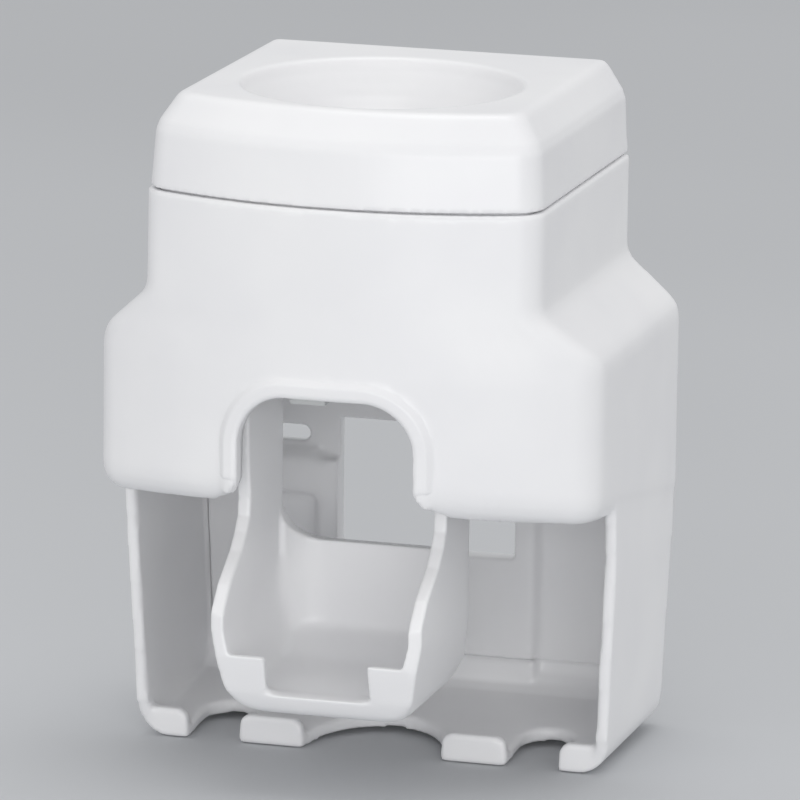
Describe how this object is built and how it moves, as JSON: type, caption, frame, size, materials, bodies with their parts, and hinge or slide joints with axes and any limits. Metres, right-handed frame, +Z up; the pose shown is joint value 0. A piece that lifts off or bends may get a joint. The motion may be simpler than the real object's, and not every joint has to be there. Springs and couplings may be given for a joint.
{
  "type": "toothpaste dispenser",
  "caption": "Wall-hung toothpaste dispenser: a white case with a lift-off lid, an arch and pushed scoop lever over a hidden squeeze pump, and notched toothbrush rests below.",
  "frame": {"origin": "on the wall plane, midway between the two hanging slots in the back plate", "axes": "+X to the right seen from the front, +Y towards the wall, +Z up"},
  "size_m": [0.075, 0.06, 0.1],
  "materials": {
    "shell_white": "satin moulded ABS",
    "inner_plastic": "moulded polypropylene, matt",
    "silicone": "translucent white silicone, matt",
    "steel": "zinc-plated steel",
    "spring_steel": "drawn spring wire"
  },
  "bodies": {
    "shell": {"housing": "shell_white", "back_plate": "shell_white", "back_screws": "steel", "chassis": "inner_plastic", "deck_screws": "steel", "tube_collar": "silicone", "collar_ring": "inner_plastic", "ring_screws": "steel", "inlet_valve": "silicone", "pump_body": "inner_plastic", "pump_screws": "steel", "squeeze_tube": "silicone", "outlet_valve": "silicone", "nozzle_cap": "inner_plastic", "pivot_shaft": "steel", "shaft_clips": "steel", "return_spring": "spring_steel"},
    "lid": {"lid": "shell_white"},
    "lever": {"lever": "shell_white", "squeeze_bar": "inner_plastic"}
  },
  "joints": [
    {"name": "lever_hinge", "type": "hinge", "parent": "shell", "child": "lever", "pos_m": [0, -0.041, 0.0332], "axis": [1, 0, 0], "range_deg": [0, 25], "stiffness_Nm_per_rad": 0.15, "springref_deg": -20.05, "deforming": ["return_spring", "squeeze_tube"]},
    {"name": "lid_lift", "type": "slide", "parent": "shell", "child": "lid", "axis": [0, 0, 1], "range_m": [0, 0.03]}
  ]
}
